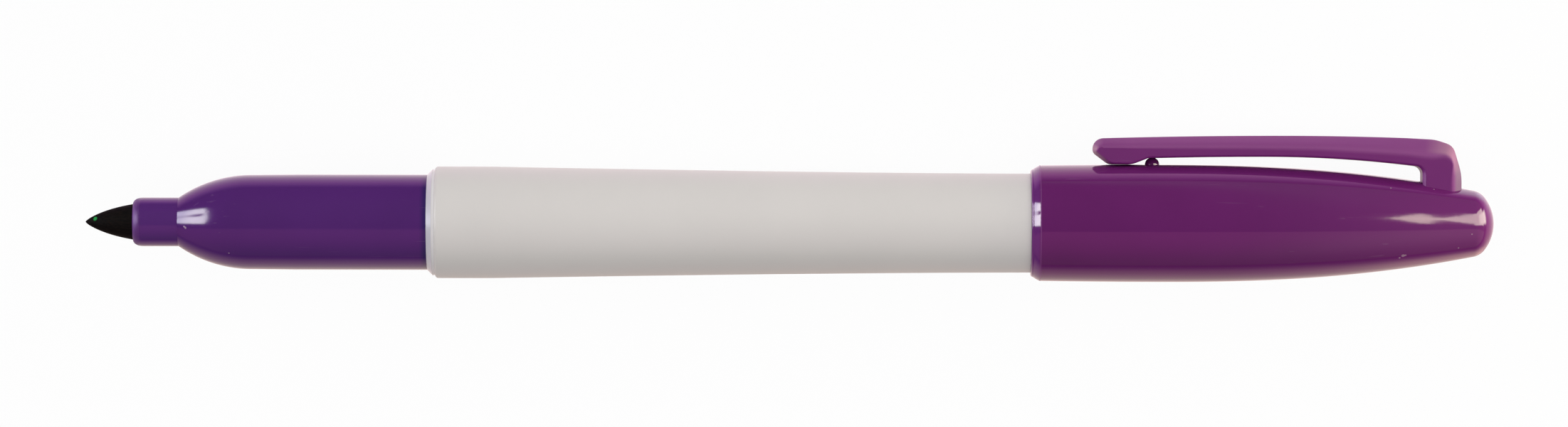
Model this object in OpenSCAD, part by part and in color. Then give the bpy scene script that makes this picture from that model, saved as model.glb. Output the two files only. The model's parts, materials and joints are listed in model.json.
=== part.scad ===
// Permanent marker with a fibre nib, shown with its cap posted on the rear of the barrel.
// The pen lies along X with the nib towards -X, rolled until its clip meets the table at +Y.

/* [Nib] */
// Length of the nib in front of the neck
nib_l = 5.16; // [4:0.02:7]
// Diameter of the nib rod
nib_d = 3.9; // [3.4:0.02:3.98]
// Length of the nib rod behind the front of the neck
nib_tail_l = 25; // [20:0.5:32]
// Exponent of the nib's outline, low for blunt and high for sharp
nib_taper = 0.53; // [0.4:0.01:0.8]
// Chamfer on the rear end of the nib rod
nib_chamfer = 0.3; // [0.1:0.05:0.6]

/* [Grip section] */
// Length of the neck
neck_l = 4.88; // [4:0.02:6]
// Diameter of the neck
neck_d = 5.26; // [5.2:0.02:5.8]
// Length of the rounded front edge of the neck
neck_edge_l = 1.1; // [0.4:0.1:2]
// Height of the rounded front edge of the neck
neck_edge_h = 0.6; // [0.2:0.02:0.62]
// Length of the curved shoulder
shoulder_l = 7.88; // [6:0.02:9]
// Length of the straight grip
grip_l = 18.7; // [15:0.05:24]
// Diameter of the straight grip
grip_d = 10.28; // [10.06:0.02:10.36]
// Length of the nib's guide, from the front of the neck to the ink chamber
nib_guide_l = 17; // [15:0.5:19]
// Length of the cone that leads from the nib's guide into the ink chamber
chamber_lead_l = 2; // [1:0.1:3]
// Length of the spigot that goes into the barrel
spigot_l = 8; // [6:0.1:12]
// Height of the snap bead round the spigot
bead_h = 0.12; // [0.06:0.01:0.2]
// Length of the snap bead along the spigot
bead_l = 0.8; // [0.6:0.05:1.2]

/* [Barrel] */
// Length of the barrel tube
barrel_l = 87.4; // [80:0.1:96]
// Diameter of the barrel at its widest
barrel_d = 12.04; // [11.8:0.02:12.2]
// Diameter of the barrel at its rear end
tail_d = 9.86; // [9.7:0.02:10]
// Length of the barrel that keeps its full diameter
barrel_straight_l = 7.2; // [2:0.1:16]
// Distance from the front of the barrel to its waist, where the cap's mouth sits
waist_l = 64; // [56:0.5:72]
// Diameter of the barrel at its waist
waist_d = 10.68; // [10.6:0.02:10.76]
// Exponent of the flare in front of the waist, 1 for a straight cone
barrel_flare = 1.5; // [1.2:0.05:1.8]
// Exponent of the taper behind the waist, 1 for a straight cone
barrel_taper = 1.4; // [1.2:0.05:1.6]
// Wall of the barrel
barrel_wall = 1.2; // [1.1:0.02:1.3]
// Length of the chamfer at the front of the barrel
collar_chamfer_l = 0.7; // [0.5:0.05:1]
// Diameter of the narrow land behind the chamfer
collar_land_d = 11.42; // [11.2:0.02:11.6]
// Length of the narrow land
collar_land_l = 0.25; // [0.1:0.05:0.5]
// Length of the rounded step from the land to the full diameter
collar_step_l = 0.4; // [0.2:0.05:0.6]
// Pairs of ribs that centre the reservoir
rib_pairs = 3; // [2:1:5]
// Width of a rib
rib_w = 0.8; // [0.5:0.05:1.2]

/* [End plug] */
// Length of the plug's head behind the barrel
plug_head_l = 0.8; // [0.5:0.05:1.5]
// Radius of the head's rounded edge, along and across
plug_round = 0.5; // [0.2:0.05:0.5]
// Length of the plug's skirt inside the barrel
plug_skirt_l = 5; // [3:0.1:7]
// Wall of the plug's skirt
plug_wall = 0.9; // [0.6:0.05:1.2]
// Diameter of the stem that stops the reservoir
plug_stem_d = 3; // [2:0.1:3.4]
// Length of the stem in front of the skirt
plug_stem_l = 6.5; // [4:0.1:20]

/* [Ink reservoir] */
// Diameter of the fibre rod
reservoir_d = 6.8; // [6.4:0.02:6.86]
// Thickness of the film round it
film_t = 0.1; // [0.05:0.01:0.12]

/* [Cap] */
// Length of the cap
cap_l = 50; // [49:0.1:54]
// Diameter of the cap at its widest
cap_d = 12.68; // [12.6:0.02:13.2]
// Diameter just behind the rounded edge of the mouth
cap_mouth_d = 12.48; // [12.2:0.02:12.56]
// Distance from the mouth to the widest place
cap_belly_l = 14; // [10:0.1:18]
// Diameter at the edge of the end dome
cap_end_d = 6.8; // [6.4:0.02:7.2]
// Exponent of the taper towards the end
cap_taper = 2.4; // [2.2:0.05:2.6]
// Radius of the end dome
dome_r = 4.3; // [4:0.05:6]
// Length of the rounded edge of the mouth
mouth_edge_l = 1.1; // [0.6:0.05:1.6]
// Thickness of the lip at the very front of the mouth
mouth_lip_t = 0.1; // [0.08:0.01:0.3]
// Depth of the barrel's rear end inside the posted cap
post_depth = 22.9; // [20:0.1:24]
// Length of the mouth's straight bore, which grips the barrel
grip_bore_l = 5; // [3:0.1:8]
// Diameter at the inner end of the bore
bore_end_d = 10.44; // [10.36:0.02:10.6]

/* [Inner cap] */
// Diameter of the liner where it sits in the cap
liner_d = 7.4; // [7:0.02:7.6]
// Length of the liner's seat in the cap
liner_seat_l = 8; // [6:0.1:8.4]
// Wall of the sealing lip
liner_lip_t = 0.65; // [0.4:0.01:0.8]
// Distance from the shoulder to the sealing lip when the cap is on the front
lip_clear = 1.1; // [0.6:0.05:1.6]
// Length of the sealing lip
lip_l = 2.6; // [1.5:0.05:2.6]
// Room in front of the nib when the cap is on the front
nib_room = 2; // [1:0.1:2.2]
// Widening of the nib's chamber behind the lip
lip_undercut = 0.25; // [0.1:0.01:0.3]
// Thickness of the liner's closed end
liner_end_t = 1.2; // [0.8:0.05:1.4]

/* [Clip] */
// Length of the clip from its free end to the back of its post
clip_l = 39.7; // [36:0.1:42]
// Distance from the back of the post to the end of the cap
clip_inset = 3.58; // [3.4:0.02:3.8]
// Width of the clip
clip_w = 4.1; // [3.4:0.05:4.6]
// Thickness of the clip above its throat
clip_t = 2.35; // [2.2:0.05:2.8]
// Gap between the arm and the cap, where cloth goes
clip_throat = 0.8; // [0.7:0.02:1.2]
// Radius of the arm's arched top
clip_arch_r = 330; // [250:5:500]
// Distance from the pivot to the top of the arch
clip_arch_l = 13.8; // [12:0.1:16]
// Chamfer along the outer edges
clip_chamfer = 0.85; // [0.5:0.05:1]
// Thickness of the post along the cap
post_t = 4.22; // [4:0.02:4.6]
// Radius of the outer corner between arm and post
clip_corner_r = 2.2; // [1.8:0.05:3.4]
// Diameter of the rounded root of the arm
knuckle_d = 2.9; // [2.6:0.02:3]
// Length of the flat underside next to the heel
clip_flat_l = 17.5; // [14:0.1:18]
// Length of the bevelled nose at the free end
nose_l = 0.45; // [0.3:0.05:0.8]
// Height of the bevel at the top of the nose
nose_bevel_h = 1.0; // [0.6:0.05:1.2]
// Height of the bevel under the nose, above the throat
nose_under_h = 0.1; // [0.05:0.05:0.4]
// Distance from the free end to the heel
heel_setback = 1.65; // [1.4:0.05:2.4]
// Length of the heel that presses on the cap
heel_l = 2.75; // [1.5:0.05:3]
// Length of the slope behind the heel
heel_rise_l = 1.5; // [1:0.05:2]
// Distance from the slope to the middle of the pip on the cap
pip_setback = 0.52; // [0.5:0.02:1.2]

/* [Fits] */
// Radial clearance of a push fit
push_fit = 0.02; // [0.01:0.01:0.04]
// Radial clearance of the barrel in the posted cap
post_fit = 0.04; // [0.02:0.01:0.08]
// Radial clearance of the inner cap in the cap
liner_fit = 0.05; // [0.02:0.01:0.08]
// Radial clearance of the sealing lip round the neck
seal_fit = 0.05; // [0.02:0.01:0.08]
// Radial clearance round the film of the reservoir
film_fit = 0.05; // [0.02:0.01:0.08]
// Clearance of the arm's root in its seat
knuckle_fit = 0.05; // [0.03:0.01:0.08]
// End clearance of pieces that stop each other
end_fit = 0.2; // [0.1:0.05:0.3]
// Gap between the heel and the cap
heel_gap = 0.1; // [0.05:0.01:0.2]
// Gap between the pip and the arm
pip_gap = 0.12; // [0.08:0.01:0.2]

/* [Hidden] */
$fn = 120;
// Steps along a curved outline
steps = 24;
// Steps round a small edge
edge_steps = 8;
// Facets round the whole circle of the clip's wide arch
arch_facets = 1440;
// Overlap of shapes that are joined into one solid
joint_bite = 0.3;
// How far a cut runs past the faces that it opens
cut_over = 0.5;

grip_purple = [0.31, 0.15, 0.42];
cap_purple = [0.38, 0.13, 0.38];
clip_purple = [0.46, 0.20, 0.45];
off_white = [0.82, 0.80, 0.78];
ink_black = [0.08, 0.07, 0.07];
fibre_grey = [0.45, 0.36, 0.50];
film_clear = [0.85, 0.87, 0.88];
liner_white = [0.90, 0.90, 0.88];

// Radii
nib_r = nib_d / 2;
neck_r = neck_d / 2;
grip_r = grip_d / 2;
barrel_r = barrel_d / 2;
waist_r = waist_d / 2;
tail_r = tail_d / 2;
land_r = collar_land_d / 2;
reservoir_r = reservoir_d / 2;
cap_r = cap_d / 2;
mouth_r = cap_mouth_d / 2;
cap_end_r = cap_end_d / 2;
bore_end_r = bore_end_d / 2;
liner_r = liner_d / 2;
knuckle_r = knuckle_d / 2;
film_r = reservoir_r + push_fit + film_t;
chamber_r = film_r + film_fit;
nib_bore_r = nib_r + push_fit;
spigot_bore_r = barrel_r - barrel_wall;
spigot_r = spigot_bore_r - push_fit;
plug_bore_r = tail_r - barrel_wall;
plug_r = plug_bore_r - push_fit;
collar_front_r = grip_r + push_fit;

// Places along the pen, from the tip of the nib
neck_s = nib_l;
shoulder_s = neck_s + neck_l;
grip_s = shoulder_s + shoulder_l;
barrel_s = grip_s + grip_l;
straight_s = barrel_s + barrel_straight_l;
waist_s = barrel_s + waist_l;
tail_s = barrel_s + barrel_l;
rear_s = tail_s + plug_head_l;
mouth_s = rear_s - post_depth;
end_s = mouth_s + cap_l;
overall_l = end_s;
chamber_s = neck_s + nib_guide_l;
reservoir_s = chamber_s + end_fit;
plug_skirt_s = tail_s - plug_skirt_l;
plug_stem_s = plug_skirt_s - plug_stem_l;
reservoir_end_s = plug_stem_s - end_fit;
nib_end_s = neck_s + nib_tail_l;
spigot_end_s = barrel_s + spigot_l;
bead_s = barrel_s + spigot_l / 2;

// Shoulder arc, tangent to the grip
shoulder_drop = grip_r - neck_r;
shoulder_r = (shoulder_l ^ 2 + shoulder_drop ^ 2) / (2 * shoulder_drop);

// Cap bore, and the place where its mouth stops when the cap is on the front
cap_bore_r = barrel_r_at(mouth_s) + post_fit;
collar_slope = (land_r - collar_front_r) / collar_chamfer_l;
capped_s = barrel_s + (cap_bore_r - collar_front_r) / collar_slope;
dome_l = dome_r - sqrt(dome_r ^ 2 - cap_end_r ^ 2);
edge_s = end_s - dome_l;
belly_s = mouth_s + cap_belly_l;

// Inner cap, placed by the neck and the nib that it covers
lip_s = mouth_s + capped_s - shoulder_s + lip_clear;
lip_end_s = lip_s + lip_l;
nib_chamber_end_s = mouth_s + capped_s + nib_room;
liner_end_s = nib_chamber_end_s + liner_end_t;
liner_seat_s = liner_end_s - liner_seat_l;
lip_r = neck_r + seal_fit;
lip_outer_r = lip_r + liner_lip_t;
nib_chamber_r = lip_r + lip_undercut;
liner_bore_r = liner_r + liner_fit;
liner_bead_s = liner_end_s - liner_seat_l / 2;
bore_end_s = rear_s + end_fit;

// Clip, from the cap's axis
post_back_s = end_s - clip_inset;
post_front_s = post_back_s - post_t;
free_s = post_back_s - clip_l;
pivot_s = post_front_s;
under_h = cap_r + clip_throat;
arch_h = under_h + clip_t;
arch_s = pivot_s - clip_arch_l;
arch_centre_h = arch_h - clip_arch_r;
pivot_h = arch_h_at(pivot_s) - knuckle_r;
heel_s = free_s + heel_setback;
heel_h = cap_r + heel_gap;
rise_s = heel_s + heel_l;
flat_s = rise_s + heel_rise_l;
slope_s = flat_s + clip_flat_l;
pip_s = flat_s + pip_setback;
pip_r = clip_throat - pip_gap;
corner_s = post_back_s - clip_corner_r;
corner_h = arch_h_at(corner_s) - clip_corner_r;
foot_h = cap_end_r - knuckle_r;

// Roll at which the clip's edge meets the table, and the sideways place that centres the pen
rest_edge_h = arch_h - clip_chamfer;
rest_edge_w = clip_w / 2;
rest_angle = asin(cap_r / norm([rest_edge_h, rest_edge_w])) - atan2(rest_edge_w, rest_edge_h);
rest_roll = -90 - rest_angle;
clip_reach = arch_h * cos(rest_angle) + (rest_edge_w - clip_chamfer) * sin(rest_angle);
pen_y = (cap_r - clip_reach) / 2;

function between(a, b, t) = a + (b - a) * t;

// Radius of the barrel's outside behind its collar
function barrel_r_at(s) =
    s < straight_s
        ? barrel_r
        : s < waist_s
            ? waist_r + (barrel_r - waist_r) * ((waist_s - s) / (waist_s - straight_s)) ^ barrel_flare
            : waist_r - (waist_r - tail_r) * ((s - waist_s) / (tail_s - waist_s)) ^ barrel_taper;

// Radius of the shoulder
function shoulder_r_at(s) = grip_r - shoulder_r + sqrt(shoulder_r ^ 2 - (grip_s - s) ^ 2);

// Radius of the cap's outside behind the rounded edge of its mouth
function cap_r_at(s) =
    s < belly_s
        ? cap_r - (cap_r - mouth_r) * ((belly_s - s) / (cap_belly_l - mouth_edge_l)) ^ 2
        : cap_r - (cap_r - cap_end_r) * ((s - belly_s) / (edge_s - belly_s)) ^ cap_taper;

// Height of the clip's arched top above the axis
function arch_h_at(s) = arch_centre_h + sqrt(clip_arch_r ^ 2 - (s - arch_s) ^ 2);

// Points of a rounded edge that rises from the front by h over the length l
function front_edge(r, s, h, l) =
    [for (i = [0:edge_steps]) [r + h * sin(90 * i / edge_steps), s + l * (1 - cos(90 * i / edge_steps))]];

// Points of a rounded edge that falls by h over the length l
function rear_edge(r, s, h, l) =
    [for (i = [0:edge_steps]) [r - h * (1 - cos(90 * i / edge_steps)), s + l * sin(90 * i / edge_steps)]];

// Points of a snap bead, low on both sides
function bead(r, s, h, l) = [[r, s - l / 2], [r + h, s - l / 6], [r + h, s + l / 6], [r, s + l / 2]];

// Reverses a list of points
function turned(points) = [for (i = [len(points) - 1:-1:0]) points[i]];

// Lays the pen on the table, with the middle of its length and width at the origin
module on_pen() {
    translate([-overall_l / 2, pen_y, cap_r])
        rotate([rest_roll, 0, 0])
            children();
}

// Turns an outline of radius and place along the pen into a round piece
module turn(points) {
    on_pen()
        rotate([0, 90, 0])
            rotate_extrude()
                polygon(points);
}

// Extrudes an outline of place and height across the clip's width
module across(points, w) {
    on_pen()
        rotate([90, 0, 0])
            translate([0, 0, -w / 2])
                linear_extrude(w)
                    polygon(points);
}

// Places a round piece with its axis across the pen
module cross_axis(s, h) {
    on_pen()
        translate([s, 0, h])
            rotate([90, 0, 0])
                children();
}

// Cross-section of the clip between two radii, with its outer edges chamfered
module clip_section(inner_r, outer_r) {
    half_w = clip_w / 2;
    polygon([
        [inner_r, -half_w],
        [outer_r - clip_chamfer, -half_w],
        [outer_r, -half_w + clip_chamfer],
        [outer_r, half_w - clip_chamfer],
        [outer_r - clip_chamfer, half_w],
        [inner_r, half_w],
    ]);
}

module nib() {
    tip = [
        for (i = [0:steps])
            let (t = (i / steps) ^ 2)
                [nib_r * t ^ nib_taper, nib_l * t]
    ];
    rod = [[nib_r, nib_end_s - nib_chamfer], [nib_r - nib_chamfer, nib_end_s], [0, nib_end_s]];
    color(ink_black)
        turn(concat(tip, rod));
}

module grip_section() {
    shoulder = [
        for (i = [0:steps])
            let (s = between(shoulder_s, grip_s, i / steps))
                [shoulder_r_at(s), s]
    ];
    spigot = concat(
        [[grip_r, barrel_s], [spigot_r, barrel_s]],
        bead(spigot_r, bead_s, bead_h, bead_l),
        [[spigot_r, spigot_end_s]]
    );
    inside = [
        [chamber_r, spigot_end_s],
        [chamber_r, chamber_s],
        [nib_bore_r, chamber_s - chamber_lead_l],
        [nib_bore_r, neck_s],
    ];
    edge = front_edge(neck_r - neck_edge_h, neck_s, neck_edge_h, neck_edge_l);
    color(grip_purple)
        turn(concat(edge, shoulder, spigot, inside));
}

module barrel() {
    flare = [
        for (i = [0:steps])
            let (s = between(straight_s, waist_s, i / steps))
                [barrel_r_at(s), s]
    ];
    taper = [
        for (i = [1:steps])
            let (s = between(waist_s, tail_s, i / steps))
                [barrel_r_at(s), s]
    ];
    step = front_edge(
        land_r, barrel_s + collar_chamfer_l + collar_land_l, barrel_r - land_r, collar_step_l
    );
    collar = concat(
        [[collar_front_r, barrel_s], [land_r, barrel_s + collar_chamfer_l]],
        step
    );
    tube_s = spigot_end_s + end_fit;
    inside = concat(
        [[plug_bore_r, tail_s], [plug_bore_r, plug_skirt_s]],
        [
            for (i = [steps:-1:0])
                let (s = between(tube_s, plug_skirt_s, i / steps))
                    [barrel_r_at(s) - barrel_wall, s]
        ],
        turned(bead(spigot_bore_r, bead_s, bead_h, bead_l)),
        [[spigot_bore_r, barrel_s]]
    );
    color(off_white)
        union() {
            turn(concat(collar, flare, taper, inside));
            barrel_ribs(tube_s + end_fit, reservoir_end_s);
        }
}

// Ribs inside the barrel that hold the reservoir in the middle
module barrel_ribs(front_s, back_s) {
    ring = concat(
        [[chamber_r, back_s], [chamber_r, front_s]],
        [
            for (i = [0:steps])
                let (s = between(front_s, back_s, i / steps))
                    [barrel_r_at(s) - barrel_wall + joint_bite, s]
        ]
    );
    intersection() {
        turn(ring);
        union()
            for (i = [0:rib_pairs - 1])
                on_pen()
                    rotate([180 * i / rib_pairs, 0, 0])
                        translate([front_s, -rib_w / 2, -barrel_r])
                            cube([back_s - front_s, rib_w, barrel_d]);
    }
}

module end_plug() {
    stem_r = plug_stem_d / 2;
    head = concat(
        [[plug_r, tail_s], [tail_r, tail_s]],
        rear_edge(tail_r, rear_s - plug_round, plug_round, plug_round),
        [[0, rear_s]]
    );
    color(off_white)
        turn(concat(
            [
                [0, plug_stem_s],
                [stem_r, plug_stem_s],
                [stem_r, tail_s],
                [plug_r - plug_wall, tail_s],
                [plug_r - plug_wall, plug_skirt_s],
                [plug_r, plug_skirt_s],
            ],
            head
        ));
}

module ink_reservoir() {
    pocket_s = nib_end_s + end_fit;
    color(fibre_grey)
        turn([
            [nib_bore_r, reservoir_s],
            [reservoir_r, reservoir_s],
            [reservoir_r, reservoir_end_s],
            [0, reservoir_end_s],
            [0, pocket_s],
            [nib_bore_r, pocket_s],
        ]);
}

module reservoir_film() {
    color(film_clear)
        turn([
            [film_r - film_t, reservoir_s],
            [film_r, reservoir_s],
            [film_r, reservoir_end_s],
            [film_r - film_t, reservoir_end_s],
        ]);
}

module inner_cap() {
    outside = concat(
        [[lip_r, lip_s], [lip_outer_r, lip_s], [lip_outer_r, liner_seat_s], [liner_r, liner_seat_s]],
        bead(liner_r, liner_bead_s, bead_h, bead_l),
        [[liner_r, liner_end_s], [0, liner_end_s]]
    );
    inside = [
        [0, nib_chamber_end_s],
        [nib_chamber_r, nib_chamber_end_s],
        [nib_chamber_r, lip_end_s],
        [lip_r, lip_end_s],
    ];
    color(liner_white)
        turn(concat(outside, inside));
}

module cap_shell() {
    mouth_front_r = cap_bore_r + mouth_lip_t;
    mouth = front_edge(mouth_front_r, mouth_s, mouth_r - mouth_front_r, mouth_edge_l);
    belly = [
        for (i = [1:steps])
            let (s = between(mouth_s + mouth_edge_l, belly_s, i / steps))
                [cap_r_at(s), s]
    ];
    taper = [
        for (i = [1:steps])
            let (s = between(belly_s, edge_s, i / steps))
                [cap_r_at(s), s]
    ];
    dome_angle = asin(cap_end_r / dome_r);
    dome = [
        for (i = [1:edge_steps])
            let (a = dome_angle * (1 - i / edge_steps))
                [dome_r * sin(a), end_s - dome_r * (1 - cos(a))]
    ];
    color(cap_purple)
        difference() {
            union() {
                turn(concat([[0, mouth_s]], mouth, belly, taper, dome));
                clip_post();
                on_pen()
                    translate([pip_s, 0, cap_r_at(pip_s)])
                        sphere(pip_r);
            }
            cap_bore();
        }
}

// Hollow of the cap, from its mouth to the floor behind the inner cap
module cap_bore() {
    floor_s = liner_end_s + end_fit;
    turn(concat(
        [
            [0, mouth_s - cut_over],
            [cap_bore_r, mouth_s - cut_over],
            [cap_bore_r, mouth_s + grip_bore_l],
            [bore_end_r, bore_end_s],
            [liner_bore_r, liner_seat_s - end_fit],
        ],
        bead(liner_bore_r, liner_bead_s, bead_h, bead_l),
        [[liner_bore_r, floor_s], [0, floor_s]]
    ));
}

// Post that carries the clip's arm, hollowed on top as a seat for the arm's root
module clip_post() {
    leg_h = corner_h - foot_h;
    difference() {
        union() {
            cross_axis(corner_s, corner_h)
                rotate_extrude()
                    clip_section(0, clip_corner_r);
            on_pen()
                translate([corner_s, 0, foot_h])
                    linear_extrude(leg_h)
                        clip_section(post_front_s - corner_s, clip_corner_r);
            on_pen()
                translate([corner_s, 0, corner_h])
                    rotate([0, -90, 0])
                        linear_extrude(corner_s - post_front_s)
                            clip_section(0, clip_corner_r);
        }
        cross_axis(pivot_s, pivot_h)
            cylinder(h = clip_w + 2 * cut_over, r = knuckle_r + knuckle_fit, center = true);
        across(
            [
                [pivot_s - post_t, 0],
                [pivot_s, 0],
                [pivot_s, pivot_h],
                [pivot_s + knuckle_r / 2, pivot_h],
                [pivot_s + knuckle_r / 2, arch_h],
                [pivot_s - post_t, arch_h],
            ],
            clip_w + 2 * cut_over
        );
    }
}

module clip_arm() {
    side = [
        [pivot_s, pivot_h - knuckle_r],
        [pivot_s, arch_h],
        [free_s + nose_l, arch_h_at(free_s)],
        [free_s, arch_h_at(free_s) - nose_bevel_h],
        [free_s + nose_l, under_h + nose_under_h],
        [heel_s, heel_h],
        [rise_s, heel_h],
        [flat_s, under_h],
        [slope_s, under_h],
    ];
    color(clip_purple)
        union() {
            intersection() {
                across(side, clip_w);
                cross_axis(arch_s, arch_centre_h)
                    rotate_extrude($fn = arch_facets)
                        clip_section(clip_arch_r - 2 * clip_t, clip_arch_r);
            }
            cross_axis(pivot_s, pivot_h)
                rotate_extrude()
                    clip_section(0, knuckle_r);
        }
}

barrel();
end_plug();
grip_section();
nib();
ink_reservoir();
reservoir_film();
inner_cap();
cap_shell();
clip_arm();
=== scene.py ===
import json
import math

import bmesh
import bpy
from mathutils import Matrix, Vector


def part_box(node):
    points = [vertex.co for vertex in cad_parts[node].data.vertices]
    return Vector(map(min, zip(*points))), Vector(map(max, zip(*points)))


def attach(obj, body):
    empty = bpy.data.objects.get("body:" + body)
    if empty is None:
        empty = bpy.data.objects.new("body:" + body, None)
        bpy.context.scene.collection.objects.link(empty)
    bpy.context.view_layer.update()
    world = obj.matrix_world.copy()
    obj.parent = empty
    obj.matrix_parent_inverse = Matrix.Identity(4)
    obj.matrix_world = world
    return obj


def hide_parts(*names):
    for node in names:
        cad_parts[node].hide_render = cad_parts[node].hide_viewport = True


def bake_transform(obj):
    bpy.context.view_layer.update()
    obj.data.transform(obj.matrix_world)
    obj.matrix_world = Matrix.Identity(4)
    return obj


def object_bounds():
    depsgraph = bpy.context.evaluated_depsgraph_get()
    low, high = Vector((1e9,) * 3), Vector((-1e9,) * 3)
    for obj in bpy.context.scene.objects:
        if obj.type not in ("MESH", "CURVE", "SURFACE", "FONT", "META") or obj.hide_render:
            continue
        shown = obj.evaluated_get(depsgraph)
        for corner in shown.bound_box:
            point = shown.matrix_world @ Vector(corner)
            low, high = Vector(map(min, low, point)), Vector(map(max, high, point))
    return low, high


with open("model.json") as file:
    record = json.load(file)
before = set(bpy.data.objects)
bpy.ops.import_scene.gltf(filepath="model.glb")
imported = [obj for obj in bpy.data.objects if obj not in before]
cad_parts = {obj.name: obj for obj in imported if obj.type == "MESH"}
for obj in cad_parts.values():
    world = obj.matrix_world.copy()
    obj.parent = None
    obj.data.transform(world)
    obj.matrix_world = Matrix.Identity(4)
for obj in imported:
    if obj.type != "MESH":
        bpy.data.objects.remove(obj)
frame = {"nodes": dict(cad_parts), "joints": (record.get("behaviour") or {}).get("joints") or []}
cadLow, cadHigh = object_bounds()
print("frame loaded:", ", ".join(sorted(frame["nodes"])))

mm = 0.001
joints = {joint["name"]: joint for joint in frame["joints"]}

# The pen's own axes: X from the nib to the cap's end, Z towards the clip, and the picture is taken from -Y
penX = Vector((1, 0, 0))
penY = Vector(joints["clip_flex"]["axis"]).normalized()
penZ = penX.cross(penY)
penStart = Vector(joints["cap_twist"]["pos_m"])
penStart.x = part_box("nib")[0].x
penTurn = Matrix((penX, penY, penZ)).transposed()
penFrame = Matrix.Translation(penStart) @ penTurn.to_4x4()
penTilt = math.atan2(penY.z, penY.y)  # how far the pen is rolled about its own length


def alongPen(node, end):  # millimetres from the nib's tip to a node's front (0) or rear (1)
    return (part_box(node)[end].x - penStart.x) / mm


seamStep = 0.28  # the collar's chamfer begins this far behind the tube's front
place = {
    "neck": alongPen("grip_section", 0),
    "barrel": alongPen("barrel", 0),
    "seam": alongPen("barrel", 0) + seamStep,
    "tail": alongPen("barrel", 1),
    "rear": alongPen("end_plug", 1),
    "mouth": alongPen("cap_shell", 0),
    "end": alongPen("cap_shell", 1),
    "liner": alongPen("inner_cap", 0),
    "linerEnd": alongPen("inner_cap", 1),
    "clip": alongPen("clip_arm", 0),
    "pivot": (joints["clip_flex"]["pos_m"][0] - penStart.x) / mm,
}


# Shader helpers

class Wire:  # an output socket; sums on it add Math nodes
    def __init__(self, sheet, socket):
        self.sheet = sheet
        self.socket = socket

    def other(self, name):
        return Wire(self.sheet, self.socket.node.outputs[name])

    def calc(self, operation, first, second=0.0):
        return self.sheet.node("ShaderNodeMath", {"operation": operation}, {0: first, 1: second})

    def __add__(self, value):
        return self.calc("ADD", self, value)

    def __sub__(self, value):
        return self.calc("SUBTRACT", self, value)

    def __rsub__(self, value):
        return self.calc("SUBTRACT", value, self)

    def __mul__(self, value):
        return self.calc("MULTIPLY", self, value)

    def __truediv__(self, value):
        return self.calc("DIVIDE", self, value)

    def __rtruediv__(self, value):
        return self.calc("DIVIDE", value, self)

    def __abs__(self):
        return self.calc("ABSOLUTE", self)

    __radd__ = __add__
    __rmul__ = __mul__


class Sheet:  # the node tree of a material or of the world
    def __init__(self, owner):
        owner.use_nodes = True
        self.owner = owner
        self.tree = owner.node_tree
        self.tree.nodes.clear()

    def node(self, kind, settings=None, sockets=None, out=0):
        made = self.tree.nodes.new(kind)
        for name, value in (settings or {}).items():
            if name == "stops":
                self.setStops(made.color_ramp.elements, value)
            else:
                setattr(made, name, value)
        for name, value in (sockets or {}).items():
            if isinstance(value, Wire):
                self.tree.links.new(value.socket, made.inputs[name])
            else:
                made.inputs[name].default_value = value
        return Wire(self, made.outputs[out]) if made.outputs else None

    def setStops(self, elements, stops):
        while len(elements) < len(stops):
            elements.new(1.0)
        for element, (position, shade) in zip(elements, stops):
            element.position = position
            element.color = shade

    def spot(self, stretch=(1, 1, 1)):  # the piece's own coordinates along the pen's axes, in metres
        own = self.node("ShaderNodeTexCoord", out="Object")
        rolled = self.node("ShaderNodeVectorRotate", {"rotation_type": "X_AXIS"},
                           {"Vector": own, "Angle": -penTilt})
        return self.node("ShaderNodeVectorMath", {"operation": "MULTIPLY"}, {0: rolled, 1: stretch})

    def noise(self, spot, size, detail=2.0, rough=0.5):
        return self.node("ShaderNodeTexNoise", None,
                         {"Vector": spot, "Scale": 1 / (size * mm), "Detail": detail, "Roughness": rough})

    def rise(self, value, low, high):  # 0 before low, 1 after high
        return self.node("ShaderNodeMapRange", {"interpolation_type": "SMOOTHSTEP"},
                         {"Value": value, "From Min": low, "From Max": high})

    def step(self, value, level, soft):  # a rise about a level
        return self.rise(value, level - soft, level + soft)

    def band(self, value, low, high, soft):  # 1 between low and high
        return self.step(value, low, soft) * (1 - self.step(value, high, soft))

    def mix(self, factor, first, second):
        return self.node("ShaderNodeMix", {"data_type": "RGBA"}, {0: factor, 6: first, 7: second}, out=2)

    def over(self, under, factor, shade):  # a shade laid over what is there
        return self.mix(factor, under, shade)

    def stops(self, factor, stops):
        return self.node("ShaderNodeValToRGB", {"stops": stops}, {"Fac": factor})

    def axis(self, vector, name):
        return self.node("ShaderNodeSeparateXYZ", None, {0: vector}, out=name)

    def along(self, vector, direction):
        return self.node("ShaderNodeVectorMath", {"operation": "DOT_PRODUCT"},
                         {0: vector, 1: direction}, out="Value")

    def near(self, spot, point, size, core):  # 1 close to a point, 0 a size away, in millimetres
        gap = self.node("ShaderNodeVectorMath", {"operation": "DISTANCE"},
                        {0: spot, 1: tuple(value * mm for value in point)}, out="Value")
        return 1 - self.rise(gap, size * core * mm, size * mm)

    def bump(self, height, depth):
        return self.node("ShaderNodeBump", None, {"Height": height, "Distance": depth * mm, "Strength": 1.0})

    def surface(self, shader):
        self.node("ShaderNodeOutputMaterial", None, {"Surface": shader})
        return self.owner


def colour(red, green, blue):
    return (red, green, blue, 1.0)


def grey(level):
    return colour(level, level, level)


def tint(shade, factor):
    return colour(*(channel * factor for channel in shade[:3]))


# Finishes

noiseMean = 0.5  # the level that a noise runs about


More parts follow.
